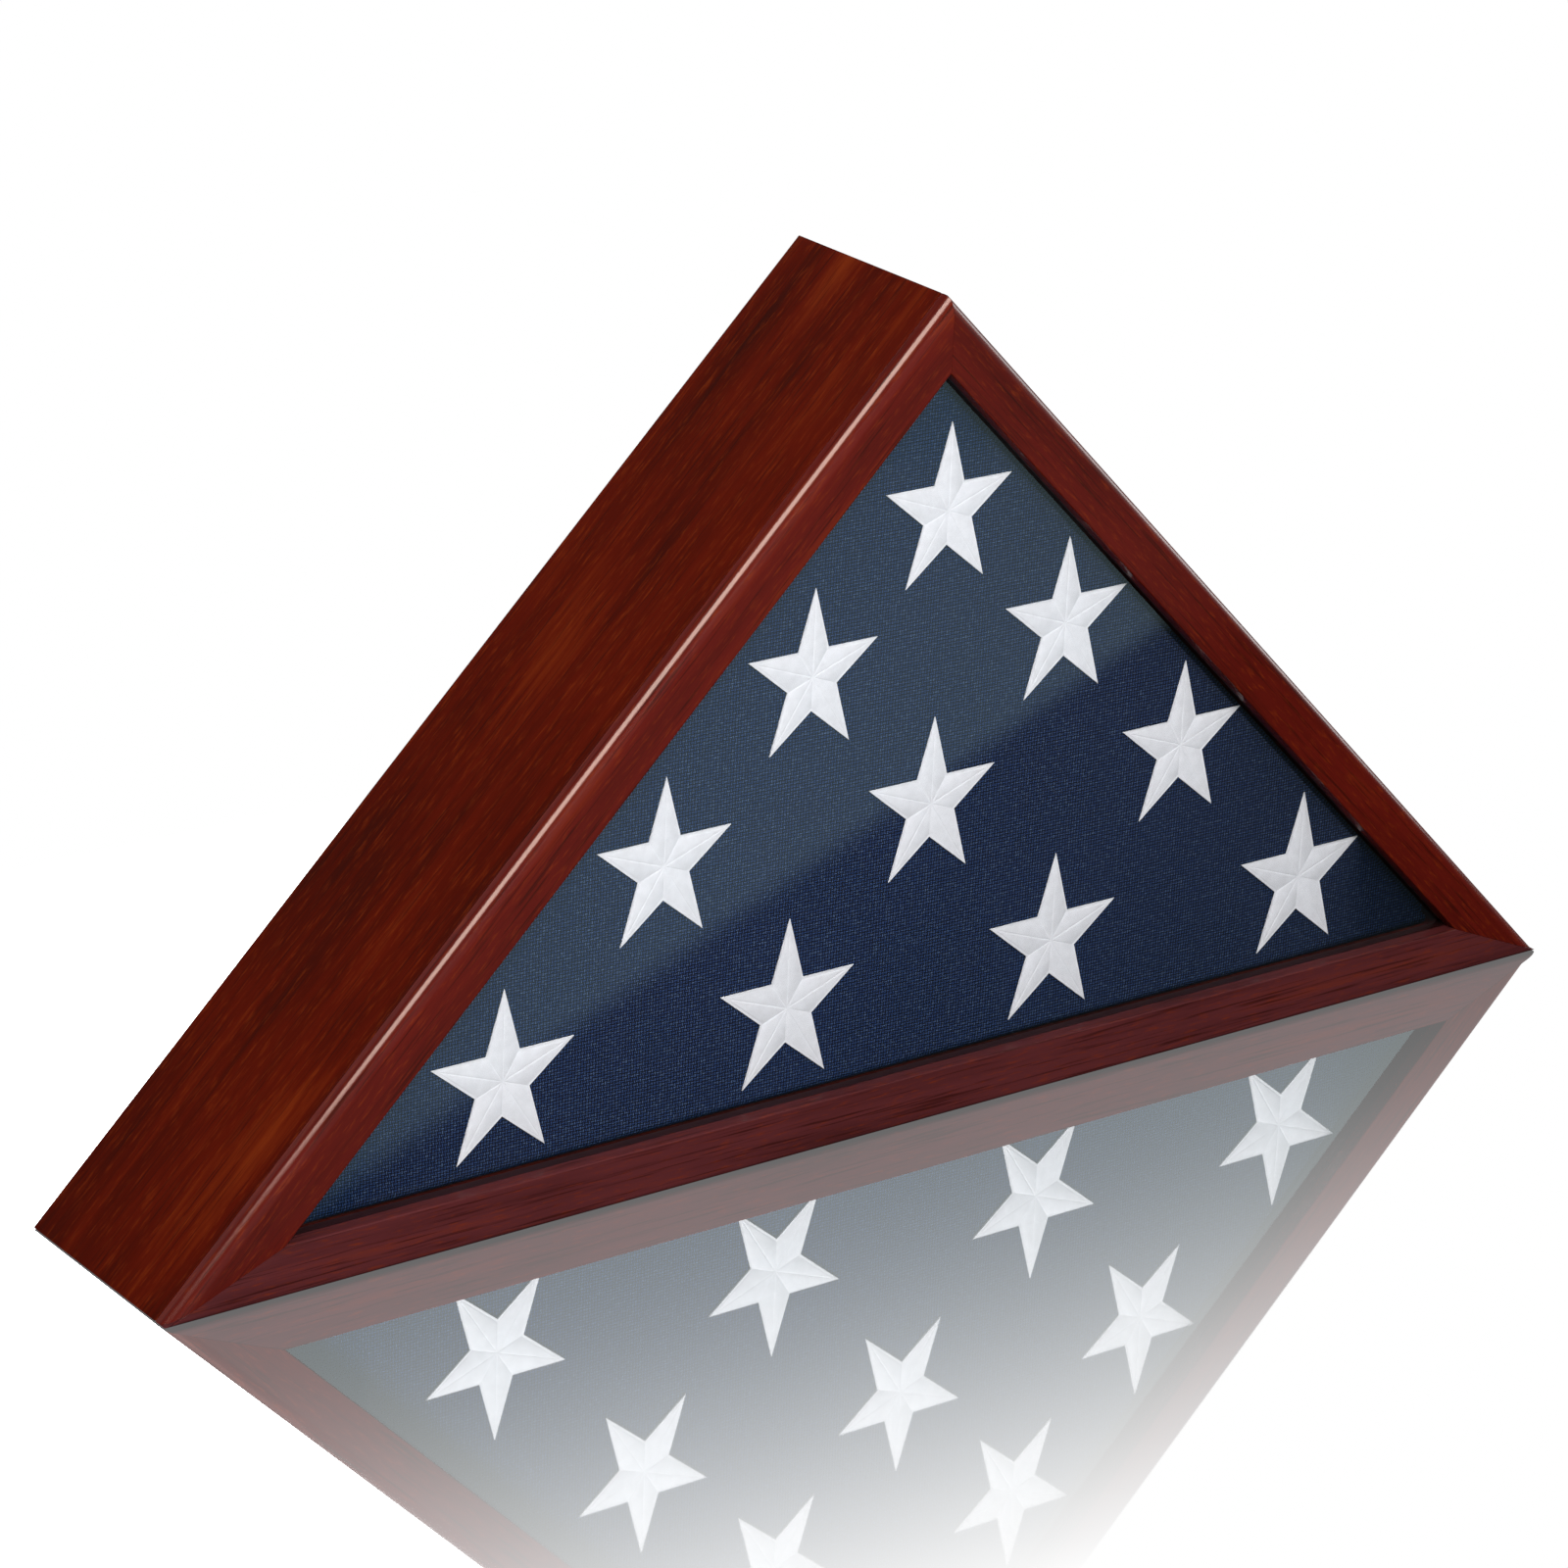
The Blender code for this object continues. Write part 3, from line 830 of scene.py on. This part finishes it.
class CASE_OT_stars(bpy.types.Operator):
    """Make the raised white stars"""

    bl_idname = "flag_case.stars"
    bl_label = "Stars"

    def execute(self, context):
        finish = star_thread()
        for row in range(1, 5):
            for place in range(1, row + 1):
                self.star(f"flag_star_{row}_{place}", f"sewn_star_{row}_{place}", finish)
        return {"FINISHED"}

    def star(self, node, name, finish):
        """One star: ten wedges about its middle, a raised border, and each wedge a little domed."""
        low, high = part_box(node)
        tall = (high.z - low.z) / (1 + math.cos(math.radians(36)))
        wide = (high.x - low.x) / 2 / math.cos(math.radians(18))
        thick = STAR_BACK - STAR_FRONT
        bm = bmesh.new()
        bmesh.ops.create_circle(bm, cap_ends=True, cap_tris=True, segments=10, radius=1)
        ring = [v for v in bm.verts if v.co.length > 0.5]
        ring.sort(key=lambda v: math.atan2(v.co.x, v.co.y))
        top = min(range(10), key=lambda i: (ring[i].co - Vector((0, 1, 0))).length)
        bmesh.ops.scale(bm, verts=ring[(top + 1) % 2 :: 2], vec=(STAR_NOTCH, STAR_NOTCH, 1))
        bmesh.ops.scale(bm, verts=bm.verts, vec=(wide, tall, 1))
        bmesh.ops.rotate(bm, verts=bm.verts, matrix=Matrix.Rotation(math.pi / 2, 3, "X"))
        middle = Vector(((low.x + high.x) / 2, STAR_BACK, high.z - tall))
        bmesh.ops.translate(bm, verts=bm.verts, vec=middle)
        done = bmesh.ops.extrude_face_region(bm, geom=bm.faces[:])
        bmesh.ops.translate(bm, verts=new_verts(done), vec=(0, -thick * 0.72, 0))
        bmesh.ops.recalc_face_normals(bm, faces=bm.faces)
        face = [f for f in bm.faces if f.normal.y < -0.9]
        bmesh.ops.inset_region(bm, faces=face, thickness=STAR_BORDER, depth=0.0, use_even_offset=True)
        wedges = [f for f in bm.faces if f.normal.y < -0.9 and len(f.verts) == 3]
        sunk = list({v for f in wedges for v in f.verts})
        bmesh.ops.translate(bm, verts=sunk, vec=(0, thick * 0.25, 0))
        bmesh.ops.inset_individual(
            bm, faces=wedges, thickness=STAR_SEAM, depth=thick * 0.34, use_even_offset=True
        )
        halfway = STAR_BACK - thick * 0.5
        rim = [e for e in sharp_edges(bm, 70) if all(v.co.y < halfway for v in e.verts)]
        bevel(bm, rim, STAR_EDGE, 2)
        show(name, bm, finish, "case", node)


class CASE_OT_flag(bpy.types.Operator):
    """Fold the flag into its triangle and lay it in the case"""

    bl_idname = "flag_case.flag"
    bl_label = "Folded Flag"

    def execute(self, context):
        cloth = context.scene.case_cloth
        bm = folded_sheet(cloth.flat_width, cloth.flat_length, cloth.ply_pitch)
        inner = CENTRE.z - (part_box("folded_flag")[0].z + CLEAR)
        bulge = 3.5 * cloth.ply_pitch + cloth.cloth
        grow = inner / (cloth.flat_width / 4 * (1 - math.sqrt(0.5)) + bulge)
        low = min(v.co.z for v in bm.verts)
        deep = max(v.co.z for v in bm.verts) - low
        room = FLAG_BACK - FLAG_FRONT - cloth.cloth - 2 * CLEAR
        bmesh.ops.scale(bm, verts=bm.verts, vec=(grow, grow, min(1, room / deep)))
        lean = math.sqrt(0.5)
        turn = Matrix(((lean, -lean, 0), (0, 0, 1), (-lean, -lean, 0)))
        bmesh.ops.transform(bm, matrix=turn.to_4x4(), verts=bm.verts)
        peak = CENTRE.z + inner / math.sin(math.radians(45)) - bulge * math.sqrt(2) * grow
        start = FLAG_FRONT + cloth.cloth / 2 + CLEAR
        front = min(v.co.y for v in bm.verts)
        bmesh.ops.translate(bm, verts=bm.verts, vec=(0, start - front, peak))
        thickness = ("SOLIDIFY", {"thickness": cloth.cloth, "offset": 0.0})
        flag = show(
            "folded_cotton_flag", bm, navy_cotton(), "case", "folded_flag", [thickness]
        )
        return {"FINISHED"}


class CASE_OT_back(bpy.types.Operator):
    """Make the lift-out back panel"""

    bl_idname = "flag_case.back"
    bl_label = "Back Panel"

    def execute(self, context):
        eased_copy("back_panel", "hardboard_back", hardboard(), 0.0004)
        return {"FINISHED"}


class CASE_OT_buttons(bpy.types.Operator):
    """Make the turn buttons that hold the back panel, and their screws"""

    bl_idname = "flag_case.buttons"
    bl_label = "Turn Buttons"

    def execute(self, context):
        brass = plated("brassed_steel", context.scene.case_fittings.brass, 0.18)
        for key in SIDES:
            for place in (1, 2):
                tail = f"{key}_{place}"
                eased_copy(f"turn_button_{tail}", f"brass_button_{tail}", brass, 0.00025)
                eased_copy(f"button_screw_{tail}", f"brass_screw_{tail}", brass, 0.00010)
        return {"FINISHED"}


class CASE_OT_hangers(bpy.types.Operator):
    """Make the two wall hangers and the corner nails"""

    bl_idname = "flag_case.hangers"
    bl_label = "Hangers and Nails"

    def execute(self, context):
        zinc = plated("zinc_steel", context.scene.case_fittings.zinc, 0.22)
        for key in ("left", "right"):
            eased_copy(f"hanger_strap_{key}", f"zinc_strap_{key}", zinc, 0.00018, 50)
            eased_copy(f"hanger_screw_{key}", f"zinc_screw_{key}", zinc, 0.00010)
            eased_copy(f"hanger_ring_{key}", f"zinc_ring_{key}", zinc, 0)
        for corner in ("apex", "left", "right"):
            paint(f"corner_nail_{corner}", zinc)
        return {"FINISHED"}


class CASE_OT_studio(bpy.types.Operator):
    """Lay the floor, hang the lights and set the camera"""

    bl_idname = "flag_case.studio"
    bl_label = "Studio"

    def execute(self, context):
        studio = context.scene.case_studio
        self.floor(studio)
        self.sky(context.scene)
        key = self.light("key_softbox", (-0.70, -1.45, 1.15), 0.70, 34)
        key.visible_glossy = False
        glint = self.light("left_edge", (-0.96, -0.10, 1.40), 0.80, 90)
        glint.visible_diffuse = False
        glint.data.color = (1.0, 0.80, 0.69)
        self.light("right_edge", (1.90, 0.25, 0.35), 0.60, 9)
        self.light("rear_fill", (0.60, 1.80, 0.80), 1.00, 16)
        camera = bpy.data.objects.new("camera", bpy.data.cameras.new("camera"))
        bpy.context.scene.collection.objects.link(camera)
        camera.data.lens = studio.lens
        camera.data.sensor_width = 36
        camera.data.clip_start = 0.05
        camera.data.clip_end = 60
        place, aim = Vector(studio.camera_place), Vector(studio.camera_aim)
        camera.location = place
        camera.rotation_mode = "QUATERNION"
        roll = Quaternion((0, 0, 1), studio.camera_roll)
        camera.rotation_quaternion = (aim - place).to_track_quat("-Z", "Y") @ roll
        context.scene.camera = camera
        context.scene.view_settings.view_transform = "Standard"
        return {"FINISHED"}

    def floor(self, studio):
        """A pale polished floor that mirrors the case close to it, seen from low down. To all other rays it
        glows as painted light, dark near the case and bright further in front.
        """
        m = Finish("polished_floor")
        x, y, _ = m.axes(m.place())
        beyond_x = (x.size() - WIDTH / 2).above(0.0)
        beyond_y = (y.size() - REAR).above(0.0)
        away = (beyond_x * beyond_x + beyond_y * beyond_y) ** 0.5
        share = away / studio.mirror_reach
        near = (1 - share * share).above(0.0)
        steep = m.axes(m.add("ShaderNodeNewGeometry", output="Incoming"))[2].ramp(0.50, 0.56)
        fade = near * (1 - steep)
        white = m.add("ShaderNodeEmission", None, {"Color": tuple(studio.floor), "Strength": 1.0})
        gloss = m.add("ShaderNodeBsdfGlossy", None, {"Color": (1, 1, 1), "Roughness": 0.02})
        shown = m.add("ShaderNodeMixShader", None, {0: fade * studio.mirror, 1: white, 2: gloss})
        # Painted glow for all but camera rays: bright far in front of the case, dark near it, so the glass
        # shows a painted reflection
        lit = (y * -1 - x * LIT_SLOPE - LIT_START).ramp(-0.012, 0.012)
        painted_glow_colour = m.mix(lit, (0.04, 0.04, 0.04), (0.42, 0.42, 0.42))
        painted_floor_glow = m.add("ShaderNodeEmission", None, {"Color": painted_glow_colour, "Strength": 1.0})
        seen = m.add("ShaderNodeLightPath", output="Is Camera Ray")
        finish = m.surface(m.add("ShaderNodeMixShader", None, {0: seen, 1: painted_floor_glow, 2: shown}))
        bm = bmesh.new()
        bmesh.ops.create_grid(bm, x_segments=1, y_segments=1, size=14)
        bmesh.ops.translate(bm, verts=bm.verts, vec=(0, 0, -0.0004))
        mesh = bpy.data.meshes.new("studio_floor")
        bm.to_mesh(mesh)
        bm.free()
        mesh.materials.append(finish)
        floor = bpy.data.objects.new("studio_floor", mesh)
        bpy.context.scene.collection.objects.link(floor)

    def sky(self, scene):
        """White to the camera and near the horizon, dimmer overhead."""
        world = bpy.data.worlds.new("studio_sky")
        scene.world = world
        m = Finish("studio_sky", world)
        seen = m.add("ShaderNodeLightPath", output="Is Camera Ray")
        direction = m.add("ShaderNodeTexCoord", output="Generated")
        high = m.axes(direction)[2].ramp(0.50, 0.60)
        mirrored = m.mix(high, (1.0, 1.0, 1.0), (0.07, 0.07, 0.075))
        scattered = m.add("ShaderNodeLightPath", output="Is Diffuse Ray")
        shade = m.mix(scattered, mirrored, (0.40, 0.40, 0.41))
        colour = m.mix(seen, shade, (1.0, 1.0, 1.0))
        m.surface(m.add("ShaderNodeBackground", None, {"Color": colour, "Strength": 1.0}))

    def light(self, name, place, size, power):
        """A square softbox that faces the case."""
        lamp = bpy.data.lights.new(name, "AREA")
        lamp.size = size
        lamp.energy = power
        holder = bpy.data.objects.new(name, lamp)
        bpy.context.scene.collection.objects.link(holder)
        holder.location = place
        holder.rotation_mode = "QUATERNION"
        holder.rotation_quaternion = (CENTRE - Vector(place)).to_track_quat("-Z", "Y")
        holder.visible_camera = False
        return holder


OPERATORS = (
    CASE_OT_boards,
    CASE_OT_rails,
    CASE_OT_glazing,
    CASE_OT_stars,
    CASE_OT_flag,
    CASE_OT_back,
    CASE_OT_buttons,
    CASE_OT_hangers,
    CASE_OT_studio,
)

GROUPS = {
    "case_wood": CASE_PG_wood,
    "case_cloth": CASE_PG_cloth,
    "case_fittings": CASE_PG_fittings,
    "case_studio": CASE_PG_studio,
}


class CASE_PT_panel(bpy.types.Panel):
    """Every piece of the case, in the order it is made."""

    bl_idname = "CASE_PT_panel"
    bl_label = "Flag Display Case"
    bl_space_type = "VIEW_3D"
    bl_region_type = "UI"
    bl_category = "Flag Case"

    def draw(self, context):
        for operator in OPERATORS:
            self.layout.operator(operator.bl_idname)
        for name, group in GROUPS.items():
            box = self.layout.box()
            for key in group.__annotations__:
                box.prop(getattr(context.scene, name), key)


def register():
    for group in GROUPS.values():
        bpy.utils.register_class(group)
    for operator in OPERATORS:
        bpy.utils.register_class(operator)
    bpy.utils.register_class(CASE_PT_panel)
    for name, group in GROUPS.items():
        setattr(bpy.types.Scene, name, bpy.props.PointerProperty(type=group))


def unregister():
    for name in GROUPS:
        delattr(bpy.types.Scene, name)
    bpy.utils.unregister_class(CASE_PT_panel)
    for operator in reversed(OPERATORS):
        bpy.utils.unregister_class(operator)
    for group in reversed(GROUPS.values()):
        bpy.utils.unregister_class(group)


def main():
    register()
    for operator in OPERATORS:
        getattr(bpy.ops.flag_case, operator.bl_idname.split(".")[1])()


if __name__ == "__main__":
    main()
